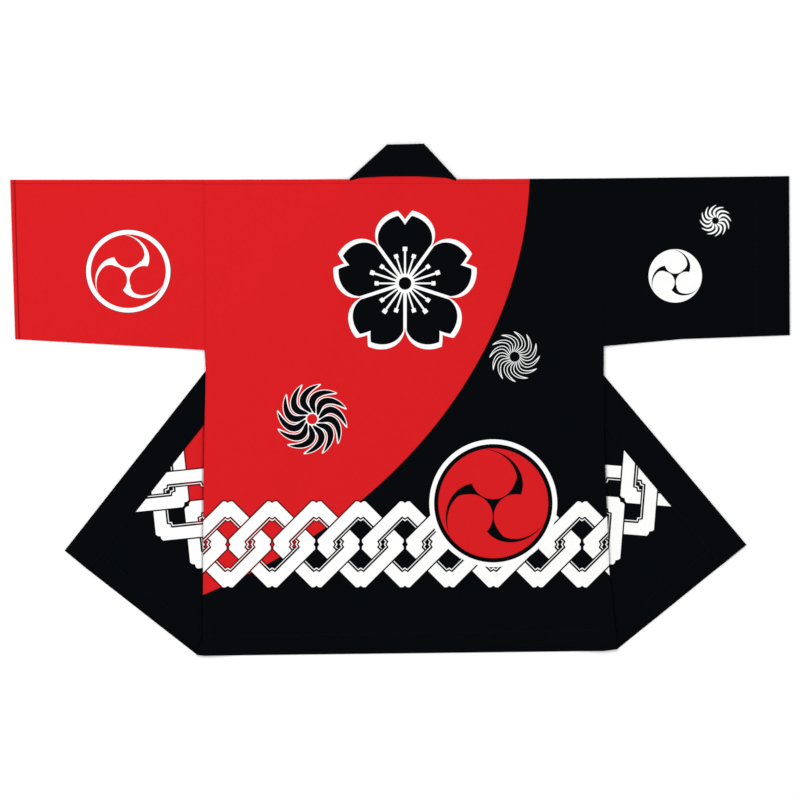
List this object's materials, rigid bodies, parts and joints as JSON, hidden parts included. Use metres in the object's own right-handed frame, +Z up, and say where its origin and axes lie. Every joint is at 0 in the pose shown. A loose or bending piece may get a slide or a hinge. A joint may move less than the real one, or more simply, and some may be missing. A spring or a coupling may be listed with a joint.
{
  "type": "happi coat",
  "caption": "Straight-cut Japanese festival coat with wide sleeves and a long collar band, laid flat with its back up and its fronts folded under.",
  "frame": {"origin": "on the floor, in the middle of the coat's length and width as it lies", "axes": "+X towards the right sleeve in the picture, +Y from the hem to the neck, +Z up, out of the coat's back"},
  "size_m": [1.3929, 0.9151, 0.007],
  "materials": {
    "red_cloth": "matt woven cotton, printed red",
    "printed_cloth": "matt woven cotton, printed red and black with a white chain",
    "black_cloth": "matt woven cotton, printed black",
    "band_cloth": "matt woven cotton, plain black"
  },
  "bodies": {
    "root": {"back": "red_cloth", "front_left": "printed_cloth", "front_right": "black_cloth", "sleeve_left": "red_cloth", "sleeve_right": "black_cloth", "collar_back": "band_cloth", "collar_left": "band_cloth", "collar_right": "band_cloth"}
  },
  "joints": []
}
